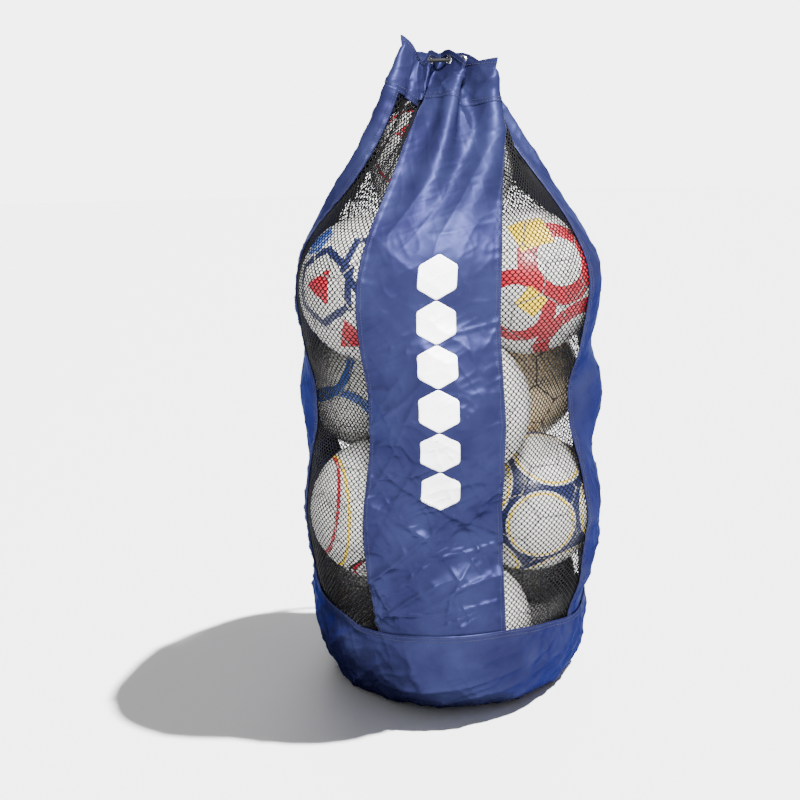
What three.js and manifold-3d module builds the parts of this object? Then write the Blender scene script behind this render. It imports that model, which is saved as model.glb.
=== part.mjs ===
// Mesh ball bag, full of footballs and drawn shut. Millimetres, +Z up.
// Origin: centre of the base where it rests on the ground. The front panel faces -Y.
import * as THREE from 'three';
import { mergeVertices } from 'three/addons/utils/BufferGeometryUtils.js';
import Module from 'manifold-3d';

const wasm = await Module();
wasm.setup();

// ---- Driving dimensions -------------------------------------------------------------
const BALL_DIAMETER = 216;        // a size 5 football
const BALL_PITCH = 216.8;         // centre to centre of two balls that touch
const RING_RADIUS = 133;          // ball centres from the bag's axis
const FIRST_BALL_HEIGHT = 112.5;
const BALL_TURN = 12;             // bearing of the first ball, degrees
const LAYERS = 4;                 // rings of three balls, with one ball on top
const LEATHER_BALL = 8;           // the one tan ball, counted from the bottom

const CLOTH = 1.6;                // wall thickness of the cloth solids
const BALL_EASE = 5;              // clear space between a ball and the outside of the cloth
const SEAM_GAP = 0.4;
const SOLID_PANEL_ANGLE = 50;
const MESH_PANEL_ANGLE = 40;
const BASE_RADIUS = 158;
const BASE_BAND_TOP = 110;
const SLEEVE_RADIUS = 213;        // the cloth tube where no ball presses on it
const SHOULDER_HEIGHT = 700;
const COLLAR_SEAM_HEIGHT = 912;
const COLLAR_SEAM_RADIUS = 98;
const NECK_TWIST = 26;            // the panels turn this far as they are gathered, degrees

const LOBES = 4;                  // outward folds of the drawn collar
const LOBE_BEARING = 52;
const CORD_HEIGHT = 952;
const CORD_RING_RADIUS = 36;
const CORD_DIAMETER = 5.5;
const CORD_SPACING = 6.2;         // between the two ends, side by side
const HEM_HEIGHT = 976;
const HEM_PEAK_RISE = 29;

const EYELET_HOLE_RADIUS = 4.8;
const EYELET_BARREL_RADIUS = 6;
const EYELET_FLANGE_RADIUS = 7.6;
const EYELET_EASE = 1;            // room for the curve of the cloth under the flange

// The straight run of the two cord ends, down the back of the neck.
const RUN_BEARING = LOBE_BEARING + 135;
const RUN_SLOPE = 38;             // from the vertical, degrees
const LOCK_RADIUS = 88;
const LOCK_HEIGHT = 914;
const LOCK_WIDTH = 20;
const LOCK_LENGTH = 16;
const LOCK_FOOT = -14.2;          // underside of the lock, measured from the cords
const LOCK_TOP = 6.5;
const BUTTON_TOP = 13;
const BUTTON_TRAVEL = 4;
const LOOP_END = -26;             // where the loop stops and the free ends start

const rad = THREE.MathUtils.degToRad;
const mix = THREE.MathUtils.lerp;

// ---- Materials ----------------------------------------------------------------------
const finish = (color, roughness, metalness = 0) =>
  new THREE.MeshStandardMaterial({ color, roughness, metalness });
const nylon = finish(0x363f80, 0.5);
const net = finish(0x15161c, 0.8);
const nickel = finish(0xc9c5ba, 0.25, 1);
const cordBlack = finish(0x14141a, 0.85);
const lockBlack = finish(0x18181b, 0.5);
const springSteel = finish(0xa8a8a8, 0.35, 1);
const ballWhite = finish(0xd9d7d0, 0.45);
const ballTan = finish(0xb09a7c, 0.55);

const bag = new THREE.Group();
function add(name, geometry, material, parent = bag) {
  const mesh = new THREE.Mesh(geometry, material);
  mesh.name = name;
  parent.add(mesh);
  return mesh;
}

// ---- Places -------------------------------------------------------------------------
// A bearing is measured at the axis, from the front (-Y) towards +X.
function polar(radius, bearing, height) {
  const a = rad(bearing);
  return new THREE.Vector3(radius * Math.sin(a), -radius * Math.cos(a), height);
}

function turned(bearing, height) {
  return bearing + NECK_TWIST * THREE.MathUtils.smoothstep(height, 640, COLLAR_SEAM_HEIGHT);
}

// ---- Balls: rings of three, each resting in the hollows of the one below ------------
function packBalls() {
  const balls = [];
  let height = FIRST_BALL_HEIGHT;
  let below = BALL_PITCH / Math.sqrt(3);
  for (let layer = 0; layer < LAYERS; layer++) {
    const ring = layer === 0 ? below : RING_RADIUS;
    if (layer > 0) {
      const across = Math.sqrt(ring ** 2 + below ** 2 - ring * below);
      height += Math.sqrt(BALL_PITCH ** 2 - across ** 2);
    }
    for (const third of [0, 120, 240]) {
      balls.push({ ring, height, bearing: BALL_TURN + third + 60 * (layer % 2) });
    }
    below = ring;
  }
  height += Math.sqrt(BALL_PITCH ** 2 - below ** 2);
  balls.push({ ring: 0, height, bearing: 0 });
  return balls;
}
const balls = packBalls();

// ---- The cloth's outer surface ------------------------------------------------------
// The empty tube's radius: round at the base, straight, then a cone up to the neck
// that is pinched in between the collar's folds.
function sleeveRadius(bearing, height) {
  if (height < BASE_BAND_TOP) {
    const lift = Math.sqrt(Math.min(1, height / BASE_BAND_TOP));
    return mix(BASE_RADIUS + 6, SLEEVE_RADIUS, lift);
  }
  const up = Math.max(0, (height - SHOULDER_HEIGHT) / (COLLAR_SEAM_HEIGHT - SHOULDER_HEIGHT));
  const cone = mix(SLEEVE_RADIUS - 13, COLLAR_SEAM_RADIUS, up);
  const radius = height < SHOULDER_HEIGHT
    ? mix(SLEEVE_RADIUS, SLEEVE_RADIUS - 13, THREE.MathUtils.smoothstep(height, 600, SHOULDER_HEIGHT))
    : cone;
  const pinch = 30 * THREE.MathUtils.smoothstep(height, 800, COLLAR_SEAM_HEIGHT);
  return radius - pinch * (1 - Math.cos(LOBES * rad(bearing - LOBE_BEARING))) / 2;
}

// The cloth stands clear of every ball that is level with it.
function skinRadius(bearing, height) {
  let radius = sleeveRadius(bearing, height);
  for (const ball of balls) {
    const rise = Math.abs(height - ball.height);
    const reach = BALL_DIAMETER / 2 + BALL_EASE;
    if (rise < reach) {
      const across = ball.ring * Math.cos(rad(bearing - ball.bearing));
      radius = Math.max(radius, across + Math.sqrt(reach ** 2 - rise ** 2));
    }
  }
  return radius;
}

const skinPoint = (bearing, height) => polar(skinRadius(bearing, height), bearing, height);

// ---- Cloth solids -------------------------------------------------------------------
// A grid of points, rows running up and columns running round, becomes a wall that is
// CLOTH thick when cut level: towards the axis, or square to the surface where the wall
// is folded. A ring closes on itself, and a patch has side faces.
function clothWall(rows, { isRing, isFolded = false }) {
  const columns = rows[0].length;
  const normalAt = (j, i) => {
    if (!isFolded) return rows[j][i].clone().setZ(0).normalize();
    const before = rows[j][(i + columns - 1) % columns];
    const round = rows[j][(i + 1) % columns].clone().sub(before);
    return new THREE.Vector3(round.y, -round.x, 0).normalize();
  };
  const positions = [];
  for (const inset of [0, CLOTH]) {
    for (let j = 0; j < rows.length; j++) {
      for (let i = 0; i < columns; i++) {
        const point = rows[j][i].clone().addScaledVector(normalAt(j, i), -inset);
        positions.push(point.x, point.y, point.z);
      }
    }
  }
  const inner = rows.length * columns;
  const at = (j, i) => j * columns + (i % columns);
  const faces = [];
  const quad = (a, b, c, d) => faces.push(a, b, c, a, c, d);
  const last = isRing ? columns : columns - 1;
  for (let i = 0; i < last; i++) {
    for (let j = 0; j < rows.length - 1; j++) {
      quad(at(j, i), at(j, i + 1), at(j + 1, i + 1), at(j + 1, i));
      quad(inner + at(j, i), inner + at(j + 1, i), inner + at(j + 1, i + 1), inner + at(j, i + 1));
    }
    const top = rows.length - 1;
    quad(at(0, i + 1), at(0, i), inner + at(0, i), inner + at(0, i + 1));
    quad(at(top, i), at(top, i + 1), inner + at(top, i + 1), inner + at(top, i));
  }
  if (!isRing) {
    for (let j = 0; j < rows.length - 1; j++) {
      quad(at(j, 0), at(j + 1, 0), inner + at(j + 1, 0), inner + at(j, 0));
      quad(at(j + 1, last), at(j, last), inner + at(j, last), inner + at(j + 1, last));
    }
  }
  const geometry = new THREE.BufferGeometry();
  geometry.setAttribute('position', new THREE.Float32BufferAttribute(positions, 3));
  geometry.setIndex(faces);
  return geometry;
}

const spread = (low, high, steps) =>
  Array.from({ length: steps + 1 }, (_, k) => mix(low, high, k / steps));

// ---- Base ---------------------------------------------------------------------------
function baseDisc() {
  const profile = [[0, 0], [BASE_RADIUS, 0], [BASE_RADIUS, CLOTH], [0, CLOTH]];
  const disc = new THREE.LatheGeometry(profile.map(([r, h]) => new THREE.Vector2(r, h)), 48);
  return disc.rotateX(Math.PI / 2);
}

function baseBand() {
  const rim = BASE_RADIUS + CLOTH + 1;
  const heights = [6, 15, 30, 52, 80, BASE_BAND_TOP - SEAM_GAP];
  const bearings = spread(0, 360, 40).slice(0, -1);
  const rows = heights.map((height) => bearings.map((bearing) => skinPoint(bearing, height)));
  rows.unshift(bearings.map((bearing) => polar(rim, bearing, 0)));
  return clothWall(rows, { isRing: true });
}

// ---- Side panels --------------------------------------------------------------------
function sidePanel(middle, width, columns) {
  const halfGap = 0.12;
  const bearings = spread(middle - width / 2 + halfGap, middle + width / 2 - halfGap, columns);
  const heights = spread(BASE_BAND_TOP, COLLAR_SEAM_HEIGHT, 22);
  const rows = heights.map((height) => bearings.map((b) => skinPoint(turned(b, height), height)));
  return clothWall(rows, { isRing: false });
}

// ---- Collar: pleated into outward folds and drawn in by the cord --------------------
// Each stage is [height, middle radius, fold depth, extra height at the folds' tips].
const collarStages = [
  [COLLAR_SEAM_HEIGHT + SEAM_GAP, COLLAR_SEAM_RADIUS - 15, 15, 0],
  [926, 62, 22, 0],
  [CORD_HEIGHT - 10, CORD_RING_RADIUS, 24, 0],
  [CORD_HEIGHT + 10, CORD_RING_RADIUS, 24, 0],
  [HEM_HEIGHT, 54, 42, HEM_PEAK_RISE],
];

function collarPoint([height, middle, depth, rise], bearing) {
  const fold = Math.cos(LOBES * rad(bearing - LOBE_BEARING));
  return polar(middle + depth * fold, bearing, height + rise * (1 + fold) / 2);
}

function toManifold(geometry) {
  const bare = geometry.clone();
  bare.deleteAttribute('normal');
  bare.deleteAttribute('uv');
  const merged = mergeVertices(bare, 1e-4);
  return new wasm.Manifold(new wasm.Mesh({
    numProp: 3,
    vertProperties: new Float32Array(merged.attributes.position.array),
    triVerts: new Uint32Array(merged.index.array),
  }));
}

function fromManifold(solid) {
  const mesh = solid.getMesh();
  const geometry = new THREE.BufferGeometry();
  geometry.setAttribute('position', new THREE.BufferAttribute(mesh.vertProperties, 3));
  geometry.setIndex(new THREE.BufferAttribute(mesh.triVerts, 1));
  return geometry;
}

// The eyelets sit where the cord ring passes through the sides of the folds.
const eyeletPlaces = Array.from({ length: 2 * LOBES }, (_, k) => {
  const bearing = LOBE_BEARING + 45 / 2 + 45 * k;
  const point = polar(CORD_RING_RADIUS, bearing, CORD_HEIGHT);
  const ahead = collarPoint(collarStages[2], bearing + 4);
  const behind = collarPoint(collarStages[2], bearing - 4);
  const along = ahead.sub(behind).setZ(0).normalize();
  const outward = new THREE.Vector3(along.y, -along.x, 0);
  return { point, outward, middle: point.clone().addScaledVector(outward, -CLOTH / 2) };
});

function placeAt(geometry, place) {
  const turn = new THREE.Quaternion().setFromUnitVectors(new THREE.Vector3(0, 1, 0), place.outward);
  return geometry.applyQuaternion(turn).translate(...place.middle.toArray());
}

function collar() {
  const bearings = spread(0, 360, 64).slice(0, -1).map((step) => LOBE_BEARING + step);
  const rows = collarStages.map((stage) => bearings.map((bearing) => collarPoint(stage, bearing)));
  let solid = toManifold(clothWall(rows, { isRing: true, isFolded: true }));
  for (const place of eyeletPlaces) {
    const drill = new THREE.CylinderGeometry(EYELET_BARREL_RADIUS + 0.3, EYELET_BARREL_RADIUS + 0.3, 12, 16);
    solid = solid.subtract(toManifold(placeAt(drill, place)));
  }
  return fromManifold(solid);
}

function ringSection(profile) {
  const points = [...profile, profile[0]].map(([r, h]) => new THREE.Vector2(r, h));
  return new THREE.LatheGeometry(points, 12);
}

// Barrel and front flange in one piece, with a flat washer behind the cloth.
function eyelet() {
  const face = CLOTH / 2 + EYELET_EASE;
  return ringSection([
    [EYELET_HOLE_RADIUS, -face - 1], [EYELET_BARREL_RADIUS, -face - 1], [EYELET_BARREL_RADIUS, face],
    [EYELET_FLANGE_RADIUS, face], [EYELET_FLANGE_RADIUS - 0.5, face + 1], [EYELET_HOLE_RADIUS, face + 1],
  ]);
}

function washer() {
  const face = CLOTH / 2 + EYELET_EASE;
  const hole = EYELET_BARREL_RADIUS + 0.35;
  return ringSection([
    [hole, -face - 0.8], [EYELET_FLANGE_RADIUS, -face - 0.8], [EYELET_FLANGE_RADIUS, -face], [hole, -face],
  ]);
}

// ---- Drawcord -----------------------------------------------------------------------
function polygon(radius, sides) {
  const corner = (k) => {
    const a = 2 * Math.PI * k / sides;
    return new THREE.Vector2(radius * Math.cos(a), radius * Math.sin(a));
  };
  return new THREE.Shape(Array.from({ length: sides }, (_, k) => corner(k)));
}

function cordTube(path, steps) {
  return new THREE.ExtrudeGeometry(polygon(CORD_DIAMETER / 2, 8), { steps, extrudePath: path });
}

// A point on the straight run: along it from the lock, across it, and out from it.
const runDown = polar(Math.sin(rad(RUN_SLOPE)), RUN_BEARING, -Math.cos(rad(RUN_SLOPE)));
const runOut = polar(Math.cos(rad(RUN_SLOPE)), RUN_BEARING, Math.sin(rad(RUN_SLOPE)));
const runAcross = polar(1, RUN_BEARING + 90, 0);
const lockCentre = polar(LOCK_RADIUS, RUN_BEARING, LOCK_HEIGHT);
const runPoint = (along, across, out) => lockCentre.clone()
  .addScaledVector(runDown, along).addScaledVector(runAcross, across).addScaledVector(runOut, out);

// From one cord end, in between the folds, round through every eyelet and out again.
function loopPath() {
  const offset = CORD_SPACING / 2;
  const opening = 20;
  const ring = spread(RUN_BEARING + opening, RUN_BEARING + 360 - opening, 16)
    .map((bearing) => polar(CORD_RING_RADIUS, bearing, CORD_HEIGHT));
  const lead = (side) => [
    runPoint(LOOP_END, side * offset, 0),
    runPoint(LOOP_END - 8, side * offset, 0.4),
    polar(57, RUN_BEARING + side * 5.5, 946.5),
    polar(46, RUN_BEARING + side * 9.5, 949.8),
    polar(38.5, RUN_BEARING + side * 14.5, 951.7),
  ];
  return new THREE.CatmullRomCurve3([...lead(1), ...ring, ...lead(-1).reverse()], false, 'centripetal');
}

// Each free end: straight through the lock, down the shoulder, then hanging.
// The hanging points are [distance from the axis, height, extra sideways distance].
const hangingRoute = [
  [153, 829, 0.2], [161, 814, 0.5], [170, 796, 1], [181, 774, 1.6], [193, 751, 2.2], [206, 728.5, 2.8],
  [217, 711.5, 3.3], [227.5, 697, 3.7], [237, 682, 4], [244.5, 666, 4.3], [248.6, 650, 4.5],
  [250.3, 632, 4.6], [250.6, 610, 4.5], [250.6, 580, 4.1], [250.4, 540, 3.2], [250, 500, 1.9],
  [249.6, 465, 0.6], [249.4, 440, 0],
];
function tailPath(side) {
  const offset = CORD_SPACING / 2;
  const straight = spread(LOOP_END + SEAM_GAP, 88, 6).map((along) => runPoint(along, side * offset, 0));
  const hanging = hangingRoute.map(([radius, height, sideways]) =>
    polar(radius, RUN_BEARING, height).addScaledVector(runAcross, side * (offset + sideways)));
  return new THREE.CatmullRomCurve3([...straight, ...hanging], false, 'centripetal');
}

function knot() {
  const profile = [[0, -20], [4, -20], [8, -15.5], [8.6, -10], [8, -4.5], [6.6, 0], [0, 0]];
  const body = new THREE.LatheGeometry(profile.map(([r, h]) => new THREE.Vector2(r, h)), 12);
  return body.rotateX(Math.PI / 2).translate(...polar(249.4, RUN_BEARING, 440 - SEAM_GAP).toArray());
}

// ---- Cord lock, made about the cords: x across them, y along them, z out from the bag
const lockFrame = new THREE.Group();
lockFrame.position.copy(lockCentre);
lockFrame.quaternion.setFromRotationMatrix(
  new THREE.Matrix4().makeBasis(runAcross, runOut.clone().cross(runAcross), runOut));
bag.add(lockFrame);

function roundedPrism(width, length, corner, low, high) {
  const shape = new THREE.Shape();
  const x = width / 2 - corner;
  const y = length / 2 - corner;
  shape.absarc(x, y, corner, 0, Math.PI / 2);
  shape.absarc(-x, y, corner, Math.PI / 2, Math.PI);
  shape.absarc(-x, -y, corner, Math.PI, 1.5 * Math.PI);
  shape.absarc(x, -y, corner, 1.5 * Math.PI, 2 * Math.PI);
  const prism = new THREE.ExtrudeGeometry(shape, { depth: high - low, bevelEnabled: false, curveSegments: 4 });
  return prism.translate(0, 0, low);
}

const bore = { width: 15.6, length: 11, floor: LOCK_FOOT + 1.6 };
const channelHalf = CORD_DIAMETER / 2 + 0.45;
const channelWidth = CORD_SPACING + 2 * channelHalf;

function lockBody() {
  const shell = toManifold(roundedPrism(LOCK_WIDTH, LOCK_LENGTH, 3.5, LOCK_FOOT, LOCK_TOP));
  const well = toManifold(roundedPrism(bore.width, bore.length, 2, bore.floor, LOCK_TOP + 5));
  const channel = toManifold(new THREE.BoxGeometry(channelWidth, LOCK_LENGTH + 10, 2 * channelHalf));
  return fromManifold(shell.subtract(well).subtract(channel));
}

const footLow = -channelHalf - 2.2;
function plunger() {
  const stem = toManifold(roundedPrism(bore.width - 0.7, bore.length - 0.7, 1.7, footLow, BUTTON_TOP));
  const slotHigh = channelHalf + BUTTON_TRAVEL;
  const slot = new THREE.BoxGeometry(channelWidth, LOCK_LENGTH, slotHigh + channelHalf);
  slot.translate(0, 0, (slotHigh - channelHalf) / 2);
  return fromManifold(stem.subtract(toManifold(slot)));
}

function spring() {
  const wire = 0.45;
  const radius = 3.6;
  const low = bore.floor + wire + 0.4;
  const high = footLow - wire - 0.4;
  class Helix extends THREE.Curve {
    getPoint(t, target = new THREE.Vector3()) {
      const a = t * 3.5 * 2 * Math.PI;
      return target.set(radius * Math.cos(a), radius * Math.sin(a), mix(low, high, t));
    }
  }
  return new THREE.ExtrudeGeometry(polygon(wire, 6), { steps: 32, extrudePath: new Helix() });
}

// ---- Assembly -----------------------------------------------------------------------
add('base_disc', baseDisc(), nylon);
add('base_band', baseBand(), nylon);
['front', 'right', 'back', 'left'].forEach((side, k) => {
  add(`solid_panel_${side}`, sidePanel(90 * k, SOLID_PANEL_ANGLE, 6), nylon);
});
['front_right', 'back_right', 'back_left', 'front_left'].forEach((side, k) => {
  add(`mesh_panel_${side}`, sidePanel(90 * k + 45, MESH_PANEL_ANGLE, 5), net);
});
add('collar', collar(), nylon);
eyeletPlaces.forEach((place, k) => {
  add(`eyelet_${k + 1}`, placeAt(eyelet(), place), nickel);
  add(`eyelet_washer_${k + 1}`, placeAt(washer(), place), nickel);
});
add('drawcord_loop', cordTube(loopPath(), 30), cordBlack);
add('drawcord_end_left', cordTube(tailPath(-1), 28), cordBlack);
add('drawcord_end_right', cordTube(tailPath(1), 28), cordBlack);
add('cord_knot', knot(), cordBlack);
add('cord_lock_body', lockBody(), lockBlack, lockFrame);
add('cord_lock_plunger', plunger(), lockBlack, lockFrame);
add('cord_lock_spring', spring(), springSteel, lockFrame);
balls.forEach((ball, k) => {
  const sphere = new THREE.IcosahedronGeometry(BALL_DIAMETER / 2, 2);
  const mesh = add(`ball_${k + 1}`, sphere, k + 1 === LEATHER_BALL ? ballTan : ballWhite);
  mesh.position.copy(polar(ball.ring, ball.bearing, ball.height));
});

export default bag;
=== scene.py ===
import math

import bpy
import numpy as np
from mathutils import Matrix, Vector


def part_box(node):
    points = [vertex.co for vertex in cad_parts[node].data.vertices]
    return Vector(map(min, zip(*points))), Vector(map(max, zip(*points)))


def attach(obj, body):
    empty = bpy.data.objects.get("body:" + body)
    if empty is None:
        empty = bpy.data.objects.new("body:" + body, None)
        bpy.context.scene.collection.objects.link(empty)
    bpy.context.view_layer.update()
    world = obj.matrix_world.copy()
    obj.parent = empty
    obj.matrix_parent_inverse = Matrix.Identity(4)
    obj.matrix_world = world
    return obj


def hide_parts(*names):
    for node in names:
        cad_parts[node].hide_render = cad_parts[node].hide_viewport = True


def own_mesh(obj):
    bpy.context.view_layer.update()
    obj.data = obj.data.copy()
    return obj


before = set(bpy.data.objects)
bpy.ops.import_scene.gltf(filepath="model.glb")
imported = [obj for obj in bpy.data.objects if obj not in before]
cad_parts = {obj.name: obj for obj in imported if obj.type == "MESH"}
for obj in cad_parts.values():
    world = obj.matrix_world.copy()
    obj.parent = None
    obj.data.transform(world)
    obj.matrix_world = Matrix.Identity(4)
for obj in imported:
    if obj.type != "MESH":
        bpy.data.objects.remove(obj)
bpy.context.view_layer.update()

# ---- Dimensions, in metres ----
BALL_RADIUS = 0.108
CLOTH_ROUND = 1.410          # the tube of cloth, once round
QUARTER = CLOTH_ROUND / 4
SOLID_WIDTH = 0.204
NET_WIDTH = QUARTER - SOLID_WIDTH
BAND_LENGTH = 0.135          # cloth from the rim of the base up to the base seam
BODY_LENGTH = 0.852          # base seam to collar seam
COLLAR_BELOW = 0.050         # collar seam to the line of eyelets
COLLAR_ABOVE = 0.016         # line of eyelets to the hem
EYELET_LINE = BODY_LENGTH + COLLAR_BELOW
COLLAR_TOP = EYELET_LINE + COLLAR_ABOVE
CLOTH_THICK = 0.0007
LOWEST_CLOTH = 0.0008        # height of the cloth's middle where it lies on the floor
LOWEST_FACE = 0.0002

FINE = 2                     # grid lines of the fine cloth for each one of the coarse cloth
COLUMNS = 128 * FINE
BAND_ROWS, BODY_ROWS, LOW_ROWS, HIGH_ROWS = 13, 77, 4, 2     # of the coarse cloth


def box_centre(node):
    low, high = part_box(node)
    return (np.array(low) + np.array(high)) / 2


BALLS = [box_centre(f"ball_{k}") for k in range(1, 14)]
EYELETS = [box_centre(f"eyelet_{k}") for k in range(1, 9)]
EYELET_HEIGHT = float(np.mean([e[2] for e in EYELETS]))
EYELET_RING = float(np.mean([math.hypot(e[0], e[1]) for e in EYELETS]))
BAND_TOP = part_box("base_band")[1][2]
BASE_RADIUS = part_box("base_disc")[1][0]


# ---- Small tools ----
def polar(radius, bearing, height):
    """Bearing in degrees, from the front (-Y) towards +X."""
    a = np.radians(bearing)
    return np.stack(np.broadcast_arrays(radius * np.sin(a), -radius * np.cos(a), height), axis=-1)


def towards(bearing, rise):
    """The direction with this bearing and this rise above level, both in degrees."""
    return polar(math.cos(math.radians(rise)), bearing, math.sin(math.radians(rise)))


def smoothstep(x, low, high):
    t = np.clip((x - low) / (high - low), 0, 1)
    return t * t * (3 - 2 * t)


def unit(vectors):
    return vectors / (np.linalg.norm(vectors, axis=-1, keepdims=True) + 1e-12)


def circle(angle, first, second):
    """Points round a circle of radius 1 that has first and second as its axes."""
    return np.cos(angle)[:, None] * first + np.sin(angle)[:, None] * second


def turns(count):
    """The angles that share out a whole turn."""
    return np.arange(count) * 2 * math.pi / count


def travelled(line):
    """Distance along a line of points, at each of them."""
    return np.concatenate([[0], np.cumsum(np.linalg.norm(np.diff(line, axis=0), axis=1))])


def read_line(at, distance, values):
    """The values along a line, at other distances."""
    return np.stack([np.interp(at, distance, values[:, k]) for k in range(3)], axis=-1)


# The straight run of both cords that the lock slides along.
RUN_BEARING = 187
RUN_SLOPE = math.radians(38)
RUN_DOWN = polar(math.sin(RUN_SLOPE), RUN_BEARING, -math.cos(RUN_SLOPE))
RUN_OUT = polar(math.cos(RUN_SLOPE), RUN_BEARING, math.sin(RUN_SLOPE))
RUN_ACROSS = polar(1.0, RUN_BEARING + 90, 0.0)
LOCK_CENTRE = polar(0.088, RUN_BEARING, 0.914)

# ---- Cloth at the start ----
# The sack is one tube of cloth on a grid: rows run up the bag and columns run round it.
# The gathered neck: one quarter of the folds, repeated four times. Each entry is cloth
# from the valley, degrees from the valley, then radius and height at the cord and at the hem.
# The second entry and the last one are at the eyelets.
FRONT_VALLEY_U = -0.096
FRONT_VALLEY_BEARING = 7.0
NECK_QUARTER = 0.350
NECK_FOLDS = [
    [0.000, 0.0, 0.012, -0.003, 0.013, 0.011],
    [0.030, 22.5, 0.036, 0.000, 0.038, 0.015],
    [0.075, 30.0, 0.066, -0.012, 0.073, -0.002],
    [0.113, 38.0, 0.050, -0.008, 0.054, 0.004],
    [0.175, 45.0, 0.088, 0.006, 0.095, 0.021],
    [0.235, 55.0, 0.052, -0.008, 0.056, 0.005],
    [0.273, 62.0, 0.066, -0.012, 0.072, 0.000],
    [0.320, 67.5, 0.036, 0.000, 0.038, 0.015],
]
# The entries that each quarter has different, by their place in the list.
QUARTER_CHANGES = [
    {2: [0.068, 27.0, 0.074, -0.014, 0.080, -0.004], 3: [0.104, 36.0, 0.046, -0.010, 0.054, -0.006],
     4: [0.175, 46.0, 0.107, -0.016, 0.113, -0.001], 5: [0.235, 55.0, 0.052, -0.014, 0.062, -0.010],
     6: [0.273, 62.0, 0.066, -0.016, 0.074, -0.010], 7: [0.320, 67.5, 0.036, 0.000, 0.042, 0.010]},
    {1: [0.030, 22.5, 0.036, 0.000, 0.042, 0.010], 4: [0.175, 43.0, 0.084, -0.018, 0.090, -0.006],
     7: [0.320, 67.5, 0.036, 0.000, 0.044, 0.010]},
    {1: [0.030, 22.5, 0.036, 0.000, 0.044, 0.010], 4: [0.175, 46.0, 0.082, -0.010, 0.089, 0.003],
     7: [0.320, 67.5, 0.036, 0.000, 0.044, 0.010]},
    {3: [0.113, 38.0, 0.050, 0.002, 0.054, 0.018], 4: [0.175, 47.0, 0.076, 0.020, 0.080, 0.036],
     5: [0.225, 54.0, 0.058, 0.006, 0.064, 0.022], 6: [0.273, 63.0, 0.050, -0.012, 0.056, 0.000]},
]

EMPTY_RADIUS = 0.205         # of the cloth where no ball reaches it
BRIDGE_SAG = 1.5             # how steeply the cloth falls in above and below a ball
SKIN_TOP = 0.72              # above this height the tube is as wide as it is here
NECK_FROM = 0.70             # height where the cloth starts to draw in
CONE_RADIUS = 0.055
FOLD_FADE = 3.0              # how fast the folds of the neck fade out downwards
NECK_TURN = 26               # degrees that the neck is turned against the base
NECK_SPREAD = 8.0            # degrees that the solid panels spread towards the nets at the neck
BACK_SHIFT = 18.0            # degrees that the back panel has slipped round at the shoulder
BACK_BEARING, RIGHT_BEARING, LEFT_BEARING = 207, 96, 276


def tube_rows(fine):
    stops = [-BAND_LENGTH, 0, BODY_LENGTH, EYELET_LINE]
    counts = [BAND_ROWS * fine, BODY_ROWS * fine, LOW_ROWS * fine]
    parts = [np.linspace(stops[k], stops[k + 1], counts[k], endpoint=False) for k in range(3)]
    return np.concatenate([*parts, EYELET_LINE + np.linspace(0, COLLAR_ABOVE, HIGH_ROWS * fine + 1)])


def tube_columns(fine):
    count = COLUMNS // FINE * fine
    return np.arange(count) * CLOTH_ROUND / count


def solid_share(u):
    """1 in the middle of a solid panel, 0 in the mesh between two."""
    from_middle = np.abs((u + QUARTER / 2) % QUARTER - QUARTER / 2)
    return 1 - smoothstep(from_middle, SOLID_WIDTH / 2 - 0.006, SOLID_WIDTH / 2 + 0.006)


def neck_table():
    table = []
    for quarter, changes in enumerate(QUARTER_CHANGES):
        for k, fold in enumerate(NECK_FOLDS):
            u, turn, r1, z1, r2, z2 = changes.get(k, fold)
            bearing = FRONT_VALLEY_BEARING + 90 * quarter + turn
            cloth = FRONT_VALLEY_U + QUARTER * (quarter + u / NECK_QUARTER)
            at_cord = polar(r1, bearing, EYELET_HEIGHT + z1)
            table.append((cloth, at_cord, polar(r2, bearing, EYELET_HEIGHT + z2)))
    return table


def periodic_spline(knots, values, at, period):
    """A smooth closed curve through values at knots, read at each position."""
    knots = np.asarray(knots)
    values = np.asarray(values)
    extended = np.concatenate([knots[-2:] - period, knots, knots[:3] + period])
    points = np.concatenate([values[-2:], values, values[:3]])
    slopes = (points[2:] - points[:-2]) / (extended[2:] - extended[:-2])[:, None]
    at = (np.asarray(at) - knots[0]) % period + knots[0]
    k = np.clip(np.searchsorted(knots, at, side="right") - 1, 0, len(knots) - 1) + 2
    span = extended[k + 1] - extended[k]
    t = ((at - extended[k]) / span)[:, None]
    p0, p1 = points[k], points[k + 1]
    m0, m1 = slopes[k - 1] * span[:, None], slopes[k] * span[:, None]
    return ((2 * t**3 - 3 * t**2 + 1) * p0 + (t**3 - 2 * t**2 + t) * m0
            + (-2 * t**3 + 3 * t**2) * p1 + (t**3 - t**2) * m1)


def skin_radius(bearing, height):
    """How far the balls hold the cloth from the axis."""
    radius = np.full(np.broadcast(bearing, height).shape, EMPTY_RADIUS)
    reach = BALL_RADIUS + 0.002
    for x, y, z in BALLS:
        ring = math.hypot(x, y)
        ball_bearing = math.degrees(math.atan2(x, -y))
        rise = np.abs(height - z)
        across = ring * np.cos(np.radians(bearing - ball_bearing))
        here = across + np.sqrt(np.maximum(reach**2 - rise**2, 0))
        radius = np.where(rise < reach, np.maximum(radius, here), radius)
    return radius


def bridged_radius(bearing, height):
    """The same, with the cloth spanning the hollows between one layer of balls and the next."""
    offsets = np.linspace(-0.08, 0.08, 9)
    return np.max([skin_radius(bearing, height + x) - BRIDGE_SAG * x * x for x in offsets], axis=0)


def around(radius, bearing):
    points = polar(radius, bearing, 0.0)
    return float(np.linalg.norm(points - np.roll(points, 1, axis=0), axis=1).sum())


def tube_radius(bearing, height):
    """Between tight on the balls and bridged, whichever the cloth has the length for."""
    tight, loose = skin_radius(bearing, height), bridged_radius(bearing, height)
    short, long = around(tight, bearing), around(loose, bearing)
    return tight + (loose - tight) * float(np.clip((CLOTH_ROUND - short) / (long - short + 1e-6), 0, 1))


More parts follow.
